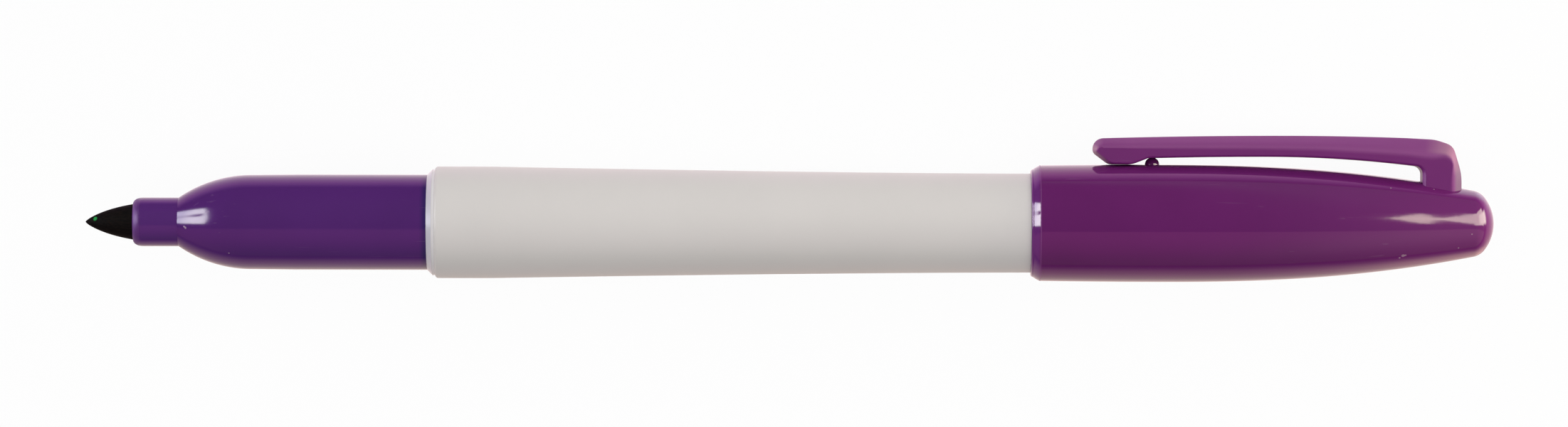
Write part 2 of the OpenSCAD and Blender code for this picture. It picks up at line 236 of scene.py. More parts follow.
def hairlines(sheet, spot, look):  # thin scratches along the pen, in patches
    hair = sheet.noise(sheet.spot(look["scratchStretch"]), look["scratchSize"], detail=1)
    patch = sheet.noise(spot, look["patchSize"], detail=1)
    return sheet.rise(hair, *look["scratchLevel"]) * sheet.rise(patch, *look["patchLevel"])


def specks(sheet, spot, peel, look):  # dust in a few cells of an uneven grid, and single bits of lint
    uneven = sheet.node("ShaderNodeVectorMath", {"operation": "MULTIPLY_ADD"},
                        {0: peel.other("Color"), 1: (look["dustShift"] * mm,) * 3, 2: spot})
    cells = sheet.node("ShaderNodeTexVoronoi", None, {"Vector": uneven, "Scale": 1 / (look["dustSize"] * mm)})
    chance = sheet.axis(cells.other("Color"), "X")
    dust = (1 - sheet.rise(cells, *look["dustLevel"])) * sheet.rise(chance, *look["dustChance"])
    for centre, size in look["flecks"]:
        dust = dust + sheet.near(spot, centre, size, look["fleckCore"])
    return dust


def mouldedPlastic(name, look):
    sheet = Sheet(bpy.data.materials.new(name))
    spot = sheet.spot()
    cloud = sheet.noise(spot, look["cloudSize"], detail=3)
    grain = sheet.noise(spot, look["grainSize"])
    peel = sheet.noise(spot, look["peelSize"], detail=1)
    scratch = hairlines(sheet, spot, look)
    dust = specks(sheet, spot, peel, look)
    cloudShades = [tint(look["shade"], 1 + side * look["cloudDepth"]) for side in (-1, 1)]
    body = sheet.mix(sheet.rise(cloud, *look["cloudLevel"]), *cloudShades)
    rough = look["rough"] + (grain - noiseMean) * look["roughSpread"]
    along = sheet.axis(spot, "X")
    for start, end, soft, shade, dull in look["bands"]:  # a stretch with its own shade and gloss
        inBand = sheet.band(along, start * mm, end * mm, soft * mm)
        body = sheet.mix(inBand, body, shade)
        rough = rough + inBand * (dull - look["rough"])
    for layer, shade in look["layers"].items():  # what the mesh marks for a shade of its own
        marked = sheet.node("ShaderNodeAttribute", {"attribute_name": layer}, out="Fac")
        body = sheet.mix(marked, body, shade)
    body = sheet.mix(scratch * look["scratchShow"], body, look["wornShade"])
    body = sheet.mix(dust * look["dustShow"], body, look["dustShade"])
    rough = rough + scratch * look["scratchDull"] + dust * look["dustDull"]
    height = peel + grain * look["grainHeight"] + dust * look["dustHeight"] - scratch * look["scratchCut"]
    return sheet.surface(sheet.node("ShaderNodeBsdfPrincipled", None, {
        "Base Color": body, "Roughness": rough, "Normal": sheet.bump(height, look["reliefDepth"]),
        "IOR": look["ior"], "Specular IOR Level": look["gloss"]}))


plasticWear = {
    "cloudSize": 9.0, "cloudLevel": (0.3, 0.7), "cloudDepth": 0.03, "grainSize": 0.12, "grainHeight": 0.15,
    "peelSize": 0.55, "reliefDepth": 0.0012, "roughSpread": 0.06, "ior": 1.5, "gloss": 0.5,
    "scratchSize": 0.25, "scratchStretch": (0.03, 1, 1), "scratchLevel": (0.70, 0.75), "scratchShow": 0.10,
    "scratchDull": 0.12, "scratchCut": 0.3, "patchSize": 5.4, "patchLevel": (0.50, 0.62),
    "dustSize": 1.7, "dustShift": 0.15, "dustLevel": (0.03, 0.07), "dustChance": (0.95, 0.96),
    "dustShow": 0.45, "dustDull": 0.3, "dustHeight": 0.6, "fleckCore": 0.6,
    "wornShade": colour(0.30, 0.16, 0.30), "dustShade": colour(0.42, 0.30, 0.36),
    "bands": [],  # start, end, softness, shade and roughness of each
    "flecks": [],  # place and size of each
    "layers": {},  # shades for the layers of the mesh
}
gripLook = {
    **plasticWear, "shade": colour(0.074, 0.0145, 0.140), "rough": 0.14,
    # the neck's front rougher, with a painted highlight as a lighter rim
    "bands": [(place["neck"] - 1, place["neck"] + 0.7, 0.4, colour(0.092, 0.022, 0.160), 0.50),
              (place["neck"] + 0.9, place["neck"] + 4.8, 0.2, colour(0.080, 0.017, 0.152), 0.16),
              # painted shade: the grip darker and bluer next to the barrel's collar
              (place["seam"] - 0.45, place["seam"] + 1, 0.35, colour(0.030, 0.012, 0.100), 0.14)],
    "flecks": [((11.0, -3.16, -0.62), 0.16), ((10.85, -3.1, -0.5), 0.12), ((15.7, -3.63, -3.38), 0.12)],
}
capLook = {
    **plasticWear, "shade": colour(0.116, 0.0118, 0.113), "rough": 0.08, "ior": 1.56,
    # painted reflection: the mouth's bevel bluer and lighter, then a painted highlight as a lighter line at
    # the crease
    "bands": [(place["mouth"] - 1, place["mouth"] + 0.9, 0.15, colour(0.125, 0.020, 0.160), 0.09),
              (place["mouth"] + 0.96, place["mouth"] + 1.08, 0.06, colour(0.160, 0.030, 0.165), 0.3),
              # painted light: the cap lighter and warmer towards its end, where more light falls
              (place["end"] - 9.92, place["end"] + 13.08, 11, colour(0.132, 0.0130, 0.122), 0.08)],
    "flecks": [((141.9, -3.42, -3.41), 0.24), ((142.15, -3.38, -3.33), 0.18), ((141.55, -3.3, -3.7), 0.14),
               ((140.6, -3.25, 3.81), 0.12), ((145.3, -2.29, 3.66), 0.12), ((149.3, -3.43, -1.1), 0.12),
               ((147.9, -2.89, -2.56), 0.12)],
}
rowStart = penStart.x / mm  # the clip's mesh is baked into the row's coordinates, so it keeps the row's own X
clipLook = {
    **plasticWear, "shade": colour(0.136, 0.0095, 0.134), "gloss": 0.32, "rough": 0.42, "roughSpread": 0.10,
    "reliefDepth": 0.003, "scratchShow": 0.12,
    "bands": [(rowStart + 147.65, rowStart + 150, 0.2, colour(0.122, 0.055, 0.124), 0.42)],  # painted shade: the post's back in a duller shade that tones down the light it catches
    "layers": {"edge": colour(0.212, 0.046, 0.195),  # painted light: the bevels lighter, as if catching more light from above
               "rubbed": colour(0.37, 0.172, 0.275)},  # painted light: chalky, lighter spots where the corners and the nose catch light
}
linerLook = {
    **plasticWear, "shade": colour(0.78, 0.77, 0.74), "rough": 0.36,
    "wornShade": colour(0.55, 0.52, 0.50), "dustShade": colour(0.35, 0.30, 0.32),
}
barrelLook = {
    **plasticWear, "shade": colour(0.635, 0.608, 0.59), "gloss": 0.3, "rough": 0.40, "roughSpread": 0.12,
    "grainSize": 0.2, "cloudDepth": 0.008, "reliefDepth": 0.002, "scratchShow": 0.05, "dustShow": 0.25,
    "wornShade": colour(0.45, 0.42, 0.41), "dustShade": colour(0.34, 0.31, 0.31),
    "bands": [(place["seam"] - 1, place["seam"] + 0.57, 0.06, colour(0.575, 0.56, 0.615), 0.2),
              (place["seam"] + 0.63, place["seam"] + 0.85, 0.06, colour(0.72, 0.70, 0.71), 0.25)],
}


def fibreFinish(name, look):
    sheet = Sheet(bpy.data.materials.new(name))
    spot = sheet.spot()
    strands = sheet.noise(sheet.spot(look["strandStretch"]), look["strandSize"], detail=4, rough=0.6)
    pores = sheet.noise(spot, look["poreSize"])
    body = sheet.mix(sheet.rise(strands, *look["fuzzLevel"]), look["wetShade"], look["dryShade"])
    # painted sheen: random pores take a lighter shade
    body = sheet.mix(sheet.rise(pores, *look["poreLevel"]) * look["poreShow"], body, look["paintedSheenShade"])
    for centre, size, shade in look["inkGlints"]:  # a bead of dried ink, its green glint painted into the colour
        body = sheet.mix(sheet.near(spot, centre, size, look["glintCore"]), body, shade)
    relief = sheet.bump(strands + pores * look["poreHeight"], look["reliefDepth"])
    return sheet.surface(sheet.node("ShaderNodeBsdfPrincipled", None, {
        "Base Color": body, "Roughness": look["rough"] + (pores - noiseMean) * look["roughSpread"],
        "Normal": relief, "Specular IOR Level": look["gloss"]}))


fibreWear = {
    "strandStretch": (0.12, 1, 1), "fuzzLevel": (0.35, 0.75), "poreLevel": (0.66, 0.78), "poreShow": 0.5,
    "poreHeight": 0.3, "rough": 0.75, "roughSpread": 0.3, "gloss": 0.06, "glintCore": 0.5, "inkGlints": [],
}
nibLook = {
    **fibreWear, "strandSize": 0.16, "poreSize": 0.22, "reliefDepth": 0.012,
    "wetShade": colour(0.0012, 0.0011, 0.0011), "dryShade": colour(0.0060, 0.0038, 0.0030),
    "paintedSheenShade": colour(0.009, 0.006, 0.005),
    # a painted green glint on the nib, near its tip
    "inkGlints": [((1.09, -0.66, 0.34), 0.29, colour(0.02, 0.27, 0.06))],
}
reservoirLook = {
    **fibreWear, "strandSize": 0.3, "poreSize": 0.5, "reliefDepth": 0.02,
    "wetShade": colour(0.07, 0.03, 0.10), "dryShade": colour(0.22, 0.15, 0.28),
    "paintedSheenShade": colour(0.30, 0.22, 0.34),
}
filmLook = {
    "creaseSize": 1.5, "creaseStretch": (0.2, 1, 1), "creaseLevel": (0.4, 0.6), "reliefDepth": 0.05,
    "shades": (colour(0.55, 0.57, 0.60), colour(0.68, 0.69, 0.70)), "rough": 0.15, "roughSpread": 0.2,
}


def filmFinish(name, look):
    sheet = Sheet(bpy.data.materials.new(name))
    creases = sheet.noise(sheet.spot(look["creaseStretch"]), look["creaseSize"], detail=3)
    return sheet.surface(sheet.node("ShaderNodeBsdfPrincipled", None, {
        "Base Color": sheet.mix(sheet.rise(creases, *look["creaseLevel"]), *look["shades"]),
        "Roughness": look["rough"] + creases * look["roughSpread"],
        "Normal": sheet.bump(creases, look["reliefDepth"])}))


finishes = {
    "grip": mouldedPlastic("grip gloss plastic", gripLook),
    "cap": mouldedPlastic("cap gloss plastic", capLook),
    "clip": mouldedPlastic("clip satin plastic", clipLook),
    "liner": mouldedPlastic("liner soft plastic", linerLook),
    "barrel": mouldedPlastic("barrel satin plastic", barrelLook),
    "nib": fibreFinish("nib felt", nibLook),
    "reservoir": fibreFinish("reservoir felt", reservoirLook),
    "film": filmFinish("reservoir film", filmLook),
}
print("finishes made:", len(finishes))


# Outline helpers, in millimetres: s is along the pen from the nib's tip, r a radius, h a height, t a share

def between(low, high, share):
    return low + (high - low) * share


def ramp(value, low, high):  # 0 at low, 1 at high, and no further
    return min(1, max(0, (value - low) / (high - low)))


def shares(count):  # even steps from 0 to 1
    return [i / count for i in range(count + 1)]


def curve(low, high, height, count):  # points of a formula between two places
    return [(s, height(s)) for s in [between(low, high, t) for t in shares(count)]]


def arc(centre, radius, first, last, count):  # points round a centre, from one angle to another
    angles = [between(first, last, t) for t in shares(count)]
    return [(centre[0] + radius * math.cos(a), centre[1] + radius * math.sin(a)) for a in angles]


def roundIn(s, r, length, height, count=10):  # a rounded edge that rises from the front
    angles = [math.pi / 2 * t for t in shares(count)]
    return [(s + length * (1 - math.cos(a)), r + height * math.sin(a)) for a in angles]


def roundOut(s, r, length, height, count=10):  # a rounded edge that falls towards the rear
    angles = [math.pi / 2 * t for t in shares(count)]
    return [(s + length * math.sin(a), r - height * (1 - math.cos(a))) for a in angles]


def spread(outline, closed=True, longest=1.2, guard=0.05):
    # adds points near both ends of each long stretch, so that it shades straight up to its edges
    dense = []
    for (s0, r0), (s1, r1) in zip(outline, outline[1:] + (outline[:1] if closed else [])):
        length = math.hypot(s1 - s0, r1 - r0)
        stops = [0.0]
        if length > 6 * guard:  # shorter ones need none
            inner = shares(max(1, math.ceil(length / longest)))[1:-1]
            stops += [guard / length] + inner + [1 - guard / length]
        dense += [(between(s0, s1, t), between(r0, r1, t)) for t in stops]
    return dense if closed else dense + outline[-1:]


# Mesh helpers

def finishMesh(name, verts, faces, finish, sharp=35):
    mesh = bpy.data.meshes.new(name)
    mesh.from_pydata([penTurn @ Vector(v) * mm for v in verts], [], faces)
    build = bmesh.new()
    build.from_mesh(mesh)
    bmesh.ops.recalc_face_normals(build, faces=build.faces)
    build.to_mesh(mesh)
    build.free()
    mesh.shade_smooth()
    mesh.set_sharp_from_angle(angle=math.radians(sharp))
    mesh.materials.append(finishes[finish])
    piece = bpy.data.objects.new(name, mesh)
    bpy.context.scene.collection.objects.link(piece)
    piece.location = penStart
    return piece


def ring(radius, segments):  # points round a circle
    turns = [2 * math.pi * i / segments for i in range(segments)]
    return [(radius * math.sin(turn), radius * math.cos(turn)) for turn in turns]


pointRadius = 1e-6  # a ring no wider than this is a single point


def turned(name, outline, finish, segments=192, sharp=35):
    # turns an outline of (along, radius) round the pen's axis
    verts, rings, faces = [], [], []
    for s, r in outline:
        points = ring(r, segments) if r > pointRadius else [(0, 0)]
        numbers = range(len(verts), len(verts) + len(points))
        rings.append([numbers[i % len(points)] for i in range(segments)])
        verts += [(s, y, z) for y, z in points]
    for first, second in zip(rings, rings[1:] + rings[:1]):
        for i in range(segments):
            j = (i + 1) % segments
            corners = list(dict.fromkeys([first[i], first[j], second[j], second[i]]))
            if len(corners) > 2:
                faces.append(corners)
    return finishMesh(name, verts, faces, finish, sharp)


def seat(piece, body, slot, *nodes):
    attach(piece, body)
    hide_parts(*nodes)
    print("seated:", piece.name)


# Nib

nibSize = {
    "length": 5.16, "radius": 1.93, "power": 0.68, "swell": 0.12,
    "rod": 1.95, "rodStart": 0.4, "tail": 25.0, "tailChamfer": 0.3,
}


def makeNib():
    size = nibSize
    length = size["length"]

    def taper(t):
        return size["radius"] * t ** size["power"] + size["swell"] * math.sin(math.pi * t)

    tip = [(length * t ** 2, taper(t ** 2)) for t in shares(40)]  # closer together at the point
    rear = length + size["tail"]
    rod = [
        (length + size["rodStart"], size["rod"]), (rear - size["tailChamfer"], size["rod"]),
        (rear, size["rod"] - size["tailChamfer"]), (rear, 0),
    ]
    return turned("nibFelt", tip[:-1] + spread(tip[-1:] + rod, closed=False), "nib", segments=128)


seat(makeNib(), "marker", "nib_fibre", "nib")


# Grip section

gripSize = {
    "neckRadius": 2.63, "neckLength": 4.88, "neckEdge": (1.1, 0.6), "shoulder": 7.88, "radius": 5.14,
    "swell": 0.05, "swellRun": 5.0, "spigot": 8.0, "spigotRadius": 4.8,
    "nibBore": 1.97, "chamberRadius": 3.57, "chamber": 17.0, "chamberLead": 2.0,
}


def makeGrip():
    size = gripSize
    neck, seam = place["neck"], place["seam"]
    shoulderStart = neck + size["neckLength"]
    gripStart = shoulderStart + size["shoulder"]
    topRadius = size["radius"] - size["swell"]
    drop = topRadius - size["neckRadius"]
    bend = (size["shoulder"] ** 2 + drop ** 2) / (2 * drop)

    def shoulder(s):
        return topRadius - bend + math.sqrt(bend ** 2 - (gripStart - s) ** 2)

    edgeLength, edgeHeight = size["neckEdge"]
    front = roundIn(neck, size["neckRadius"] - edgeHeight, edgeLength, edgeHeight)
    spigotEnd = seam + size["spigot"]
    chamber = neck + size["chamber"]
    rear = [
        (gripStart + size["swellRun"], size["radius"]), (seam, size["radius"]),
        (seam, size["spigotRadius"]), (spigotEnd, size["spigotRadius"]),
        (spigotEnd, size["chamberRadius"]), (chamber, size["chamberRadius"]),
        (chamber - size["chamberLead"], size["nibBore"]), (neck, size["nibBore"]),
    ]
    outline = front + curve(shoulderStart, gripStart, shoulder, count=40) + rear
    return turned("gripMoulding", spread(outline), "grip", sharp=25)


seat(makeGrip(), "marker", "grip_plastic", "grip_section")


# Barrel and its end plug

barrelSize = {
    "radius": 6.02, "straight": 7.2, "waistRadius": 5.34, "waist": 64.0, "flare": 1.5,
    "tailRadius": 4.93, "power": 1.4, "wall": 1.2, "plugSkirt": 5.0,
    "frontRadius": 5.16, "chamfer": 0.55, "landRadius": 5.71, "land": 0.3, "step": 0.34, "stepGap": 0.05,
}


def barrelRadius(s):
    size = barrelSize
    start = place["barrel"] + size["straight"]
    waist = place["barrel"] + size["waist"]
    if s < waist:
        share = min(1.0, (waist - s) / (waist - start))
        return between(size["waistRadius"], size["radius"], share ** size["flare"])
    share = (s - waist) / (place["tail"] - waist)
    return between(size["waistRadius"], size["tailRadius"], share ** size["power"])


def makeBarrel():
    size = barrelSize
    front, tail = place["seam"], place["tail"]
    landStart = front + size["chamfer"]
    landEnd = landStart + size["land"]
    collar = [(front, size["frontRadius"]), (landStart, size["landRadius"])]
    collar += roundIn(landEnd, size["landRadius"], size["step"], size["radius"] - size["landRadius"])
    outside = curve(landEnd + size["step"] + size["stepGap"], tail, barrelRadius, count=70)
    skirt = tail - size["plugSkirt"]
    boreEnd = barrelRadius(tail) - size["wall"]
    inside = [(tail, boreEnd), (skirt, boreEnd)]
    inside += [(s, r - size["wall"]) for s, r in curve(skirt, front, barrelRadius, count=30)]
    return turned("barrelTube", spread(collar + outside + inside), "barrel")


plugSize = {
    "round": 0.5, "skirtRadius": 3.71, "wall": 0.9, "skirt": 5.0, "stemRadius": 1.5, "stem": 6.5,
}


def makePlug():
    size = plugSize
    tail, rear = place["tail"], place["rear"]
    skirt = tail - size["skirt"]
    stem = skirt - size["stem"]
    radius = barrelSize["tailRadius"]
    inner = size["skirtRadius"] - size["wall"]
    outline = [
        (stem, 0), (stem, size["stemRadius"]), (tail, size["stemRadius"]), (tail, inner),
        (skirt, inner), (skirt, size["skirtRadius"]), (tail, size["skirtRadius"]), (tail, radius),
    ] + roundOut(rear - size["round"], radius, size["round"], size["round"]) + [(rear, 0)]
    return turned("tailPlug", spread(outline, closed=False), "barrel", segments=128)


seat(makeBarrel(), "marker", "barrel_plastic", "barrel")
seat(makePlug(), "marker", "barrel_plastic", "end_plug")


# Cap, with its inner liner and the pip under the clip

capSize = {
    "radius": 6.34, "mouthRadius": 6.24, "belly": 14.0, "endRadius": 3.45, "power": 2.4,
    "domeRadius": 4.6, "domeEdge": 2.0,
    "lip": 0.1, "mouthRound": (0.28, 0.35), "mouthEdge": 1.0, "mouthSlope": 0.43, "creaseGap": 0.04,
    "boreRadius": 5.373, "gripBore": 5.0, "boreEndRadius": 5.22, "boreEnd": 23.1,
    "seatRadius": 3.75, "seat": 8.2, "floor": 0.2,
}


def capLip():  # the mouth's rounded lip and curved bevel, up to the crease
    size = capSize
    mouth = place["mouth"]
    crease = mouth + size["mouthEdge"]
    lipRadius = size["boreRadius"] + size["lip"]
    roundLength, roundHeight = size["mouthRound"]
    bevelLength = size["mouthEdge"] - roundLength
    bevelRise = size["mouthRadius"] - lipRadius - roundHeight
    sag = (bevelRise - size["mouthSlope"] * bevelLength) / bevelLength ** 2

    def bevel(s):
        back = crease - s
        return size["mouthRadius"] - size["mouthSlope"] * back - sag * back ** 2

    lip = roundIn(mouth, lipRadius, roundLength, roundHeight, count=8)
    return lip[:-1] + curve(mouth + roundLength, crease, bevel, count=12)


def capDome(edge, slope):  # the rounded edge where the taper meets the dome, and the dome to its middle
    size = capSize
    middle = place["end"] - size["domeRadius"]
    run = Vector((1, slope)).normalized()
    inward = Vector((run.y, -run.x))
    bend = size["domeEdge"]
    start = Vector((edge - middle, size["endRadius"])) + inward * bend
    ahead = start.dot(run)
    reach = -ahead + math.sqrt(ahead ** 2 - start.length_squared + (size["domeRadius"] - bend) ** 2)
    centre = start + run * reach
    first = math.atan2(-inward.y, -inward.x)
    last = math.atan2(centre.y, centre.x)
    turn = arc((middle + centre.x, centre.y), bend, first, last, count=14)
    return turn + arc((middle, 0), size["domeRadius"], last, 0, count=24)[1:]


def makeCap():
    size = capSize
    mouth = place["mouth"]
    crease = mouth + size["mouthEdge"]
    belly = mouth + size["belly"]
    edge = place["end"] - size["domeRadius"] + math.sqrt(size["domeRadius"] ** 2 - size["endRadius"] ** 2)

    def outside(s):
        if s < belly:
            share = (belly - s) / (belly - crease)
            return between(size["radius"], size["mouthRadius"], share ** 2)
        share = (s - belly) / (edge - belly)
        return between(size["radius"], size["endRadius"], share ** size["power"])

    dome = capDome(edge, size["power"] * (size["endRadius"] - size["radius"]) / (edge - belly))
    floor = place["linerEnd"] + size["floor"]
    hollow = [
        (floor, 0), (floor, size["seatRadius"]), (place["linerEnd"] - size["seat"], size["seatRadius"]),
        (mouth + size["boreEnd"], size["boreEndRadius"]), (mouth + size["gripBore"], size["boreRadius"]),
        (mouth, size["boreRadius"]),
    ]
    skin = capLip() + curve(crease + size["creaseGap"], belly, outside, count=30)
    skin += curve(belly, dome[0][0], outside, count=90)[1:-1] + dome
    return turned("capMoulding", skin + spread(hollow, closed=False), "cap", segments=256)


seat(makeCap(), "cap", "cap_plastic", "cap_shell")

linerSize = {
    "lipRadius": 2.68, "lipWall": 0.65, "lip": 2.6, "chamberRadius": 2.93,
    "seatRadius": 3.7, "seat": 8.0, "end": 1.2,
}


def makeLiner():
    size = linerSize
    front, rear = place["liner"], place["linerEnd"]
    outer = size["lipRadius"] + size["lipWall"]
    outline = [
        (rear - size["end"], 0), (rear - size["end"], size["chamberRadius"]),
        (front + size["lip"], size["chamberRadius"]), (front + size["lip"], size["lipRadius"]),
        (front, size["lipRadius"]), (front, outer), (rear - size["seat"], outer),
        (rear - size["seat"], size["seatRadius"]), (rear, size["seatRadius"]),
    ]
    return turned("innerLiner", [(rear, 0)] + spread(outline, closed=False), "liner", segments=96)


seat(makeLiner(), "cap_liner", "liner_plastic", "inner_cap")

pipSize = {"along": 115.06, "radius": 0.79, "top": 7.11, "foot": 5.8, "segments": 48}


def makePip():
    size = pipSize
    segments = size["segments"]
    rings = roundOut(0, size["top"], size["radius"], size["radius"], count=12)[1:]
    rings.append((size["radius"], size["foot"]))
    verts = [(size["along"], 0, size["top"])]
    for radius, height in rings:
        verts += [(size["along"] + x, y, height) for y, x in ring(radius, segments)]
    faces = []
    for i in range(segments):
        j = (i + 1) % segments
        faces.append((0, 1 + i, 1 + j))
        for k in range(len(rings) - 1):
            low, high = 1 + k * segments, 1 + (k + 1) * segments
            faces.append((low + i, low + j, high + j, high + i))
    faces.append(range(len(verts) - segments, len(verts)))
    return finishMesh("capPip", verts, faces, "cap")


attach(makePip(), "cap")


# Clip, one moulding of arm and post

clipSize = {
    "width": 4.1, "foot": 2.4,
    "top": 9.47, "topAlong": 129.5, "frontArch": 660.0, "rearArch": 360.0,
    "under": 7.195, "underAlong": 127.5, "underFront": 470.0, "underRear": 130.0,
    "outerCorner": [(148.36, 5.4, 6.0), (147.45, 8.42, 1.3), (145.6, 9.07, 4.0)],
    "innerCorner": (147.5, 7.43, 1.25), "cornerAlong": 142.5, "cornerInset": 1.28,
    "armInset": [(108.0, 0.72), (113.6, 0.85), (121.3, 0.93), (132.9, 1.05), (142.5, 1.28)],
    "armDepth": 1.45, "depthRatio": 1.45, "postDepth": 0.76, "depthRun": (28, 46),
    "noseTop": 1.55, "noseDrop": 0.05, "noseRound": 1.15, "noseUnder": 7.6, "noseUnderRound": 0.7,
    "noseDepth": 1.5, "noseFade": 1.5, "noseEase": 5,
    "heel": 6.345, "heelFrom": 1.7, "heelTo": 4.2, "heelFromRound": 1.3, "heelToRound": 2.2,
    "heelFade": (0.2, 2.4), "riseTo": 6.0, "riseLift": 0.02, "riseRound": 0.8, "flatFrom": 7.2,
    "front": 144.12, "fillet": 0.85, "filletGap": 0.1, "filletDrop": 0.02, "filletSteps": 12,
    "underInset": 0.3, "postEdge": 0.32, "softEdge": 0.16,
}


def archHeight(s):
    size = clipSize
    bend = size["frontArch"] if s < size["topAlong"] else size["rearArch"]
    return size["top"] - bend + math.sqrt(bend ** 2 - (s - size["topAlong"]) ** 2)


def underHeight(s):
    size = clipSize
    bend = size["underFront"] if s < size["underAlong"] else size["underRear"]
    return size["under"] - bend + math.sqrt(bend ** 2 - (s - size["underAlong"]) ** 2)


def rounded(corners, degrees=6):
    # walks along points of (along, height, radius) and replaces each corner that has a radius by an arc
    path = []
    for i, (s, h, radius) in enumerate(corners):
        if radius <= 0:
            path.append((s, h))
            continue
        here = Vector((s, h))
        before = (Vector(corners[i - 1][:2]) - here).normalized()
        after = (Vector(corners[i + 1][:2]) - here).normalized()
        half = before.angle(after) / 2
        reach = radius / math.tan(half)
        centre = here + (before + after).normalized() * (radius / math.sin(half))
        start = here + before * reach - centre
        finish = here + after * reach - centre
        swing = math.copysign(math.pi - 2 * half, start.x * finish.y - start.y * finish.x)
        first = math.atan2(start.y, start.x)
        steps = max(4, math.ceil(math.degrees(abs(swing)) / degrees))
        path += arc(centre, radius, first, first + swing, steps)
    return path


def resample(path, count):
    # the same path as evenly spaced points
    reach = [0.0]
    for here, there in zip(path, path[1:]):
        reach.append(reach[-1] + math.dist(here, there))
    points = []
    k = 0
    for t in shares(count - 1):
        goal = reach[-1] * t
        while k < len(path) - 2 and reach[k + 1] < goal:
            k += 1
        share = (goal - reach[k]) / (reach[k + 1] - reach[k])
        points.append(Vector(path[k]).lerp(Vector(path[k + 1]), share))
    return points


def armInset(s):  # height of the arm's bevel
    stops = clipSize["armInset"]
    for (s0, inset0), (s1, inset1) in zip(stops, stops[1:]):
        if s <= s1:
            return between(inset0, inset1, ramp(s, s0, s1))
    return stops[-1][1]


def armDepth(s):  # depth of the arm's bevel, less where the bevel is low
    return min(clipSize["armDepth"], armInset(s) * clipSize["depthRatio"])


# The clip's side is rows of (outer point, inner point, depth of the bevel between them)

def postRows(count=61):  # up the post's back and round its corner
    size = clipSize
    corner = size["cornerAlong"]
    top = archHeight(corner)
    outer = [(size["outerCorner"][0][0], size["foot"], 0), *size["outerCorner"], (corner, top, 0)]
    innerTop = (corner, top - size["cornerInset"], 0)
    inner = [(size["innerCorner"][0], size["foot"], 0), size["innerCorner"], innerTop]
    points = zip(resample(rounded(outer), count), resample(rounded(inner), count))
    return [(point, inset, between(size["postDepth"], size["armDepth"], ramp(i, *size["depthRun"])))
            for i, (point, inset) in enumerate(points)]


def armRows(nose, count=60):  # along the arm's top to the nose
    tops = curve(clipSize["cornerAlong"], nose, archHeight, count)[1:]
    return [(Vector((s, top)), Vector((s, top - armInset(s))), armDepth(s)) for s, top in tops]


def underRows(nose):  # round the nose, back under the arm and down the post's front
    size = clipSize
    free = place["clip"]
    noseTop = archHeight(nose)
    riseTo = free + size["riseTo"]
    flatFrom = free + size["flatFrom"]
    path = rounded([
        (nose, noseTop, 0), (free, noseTop - size["noseDrop"], size["noseRound"]),
        (free, size["noseUnder"], size["noseUnderRound"]),
        (free + size["heelFrom"], size["heel"], size["heelFromRound"]),
        (free + size["heelTo"], size["heel"], size["heelToRound"]),
        (riseTo, underHeight(riseTo) + size["riseLift"], size["riseRound"]),
        (flatFrom, underHeight(flatFrom), 0),
    ])
    noseCount = len(path)
    underEnd = size["front"] - size["fillet"] - size["filletGap"]
    path += curve(flatFrom, underEnd, underHeight, count=50)[1:]
    filletStart = len(path)
    lean = math.asin((underEnd - size["underAlong"]) / size["underRear"])
    centreHeight = underHeight(underEnd) - size["filletDrop"] - size["fillet"]
    centre = (size["front"] - size["fillet"], centreHeight)
    path += arc(centre, size["fillet"], math.pi / 2 - lean, 0, size["filletSteps"])
    path += [(size["front"], between(centreHeight, size["foot"], t)) for t in shares(8)[1:]]
    rows = []
    for i in range(1, len(path)):
        s, h = path[i]
        run = (Vector(path[min(i + 1, len(path) - 1)]) - Vector(path[i - 1])).normalized()
        if i < noseCount:
            past = ramp(noseTop - h, 0, size["noseFade"]) if h > size["noseUnder"] else 1
            back = ramp(s - free, *size["heelFade"]) if h < size["noseUnder"] else 0
            inset = between(armInset(nose), size["underInset"], past)
            inset += (size["softEdge"] - size["underInset"]) * back
            depth = between(size["noseDepth"], size["softEdge"], back)
            depth = between(armDepth(nose), depth, ramp(i - 1, 0, size["noseEase"]))
        else:
            share = ramp(i, filletStart, filletStart + size["filletSteps"])
            inset = depth = between(size["softEdge"], size["postEdge"], share)
        point = Vector((s, h))
        rows.append((point, point + Vector((-run.y, run.x)) * inset, depth))
    return rows


bevelShape = {  # points are shares of the bevel's (height, depth), from the flat side to the edge
    "fade": 1.65, "flat": 1.4, "fadeStops": (0, 0.4, 0.7), "fadeRun": 8.0, "fadeLeast": 0.15,
    "inner": [(1.4, 0.0), (1.0, 0.0), (0.6, 0.4)], "outer": [(0.16, 0.84), (0.0, 1.0), (0.0, 1.1)],
    "edge": (0.0, 1.16), "litBevelDepth": (0.7, 1.2), "litBevelFade": 0.4, "litSpotFade": (1.2, 0.9),
    # spots of painted light, each a place and a reach
    "rubbed": [((147.2, 8.1), 2.8), ((108.6, 8.05), 0.6), ((108.8, 7.1), 1.0), ((109.6, 6.6), 1.0)],
}


def softCorner(first, corner, last, count=6):  # a smooth bend from one point to another
    points = []
    for t in shares(count):
        weights = ((1 - t) ** 2, 2 * t * (1 - t), t ** 2)
        points.append(tuple(sum(w * p[k] for w, p in zip(weights, (first, corner, last))) for k in (0, 1)))
    return points


def bevelPoints():
    shape = bevelShape
    flat = [(between(shape["fade"], shape["flat"], t), 0.0) for t in shape["fadeStops"]]
    return flat + softCorner(*shape["inner"]) + softCorner(*shape["outer"]) + [shape["edge"]]


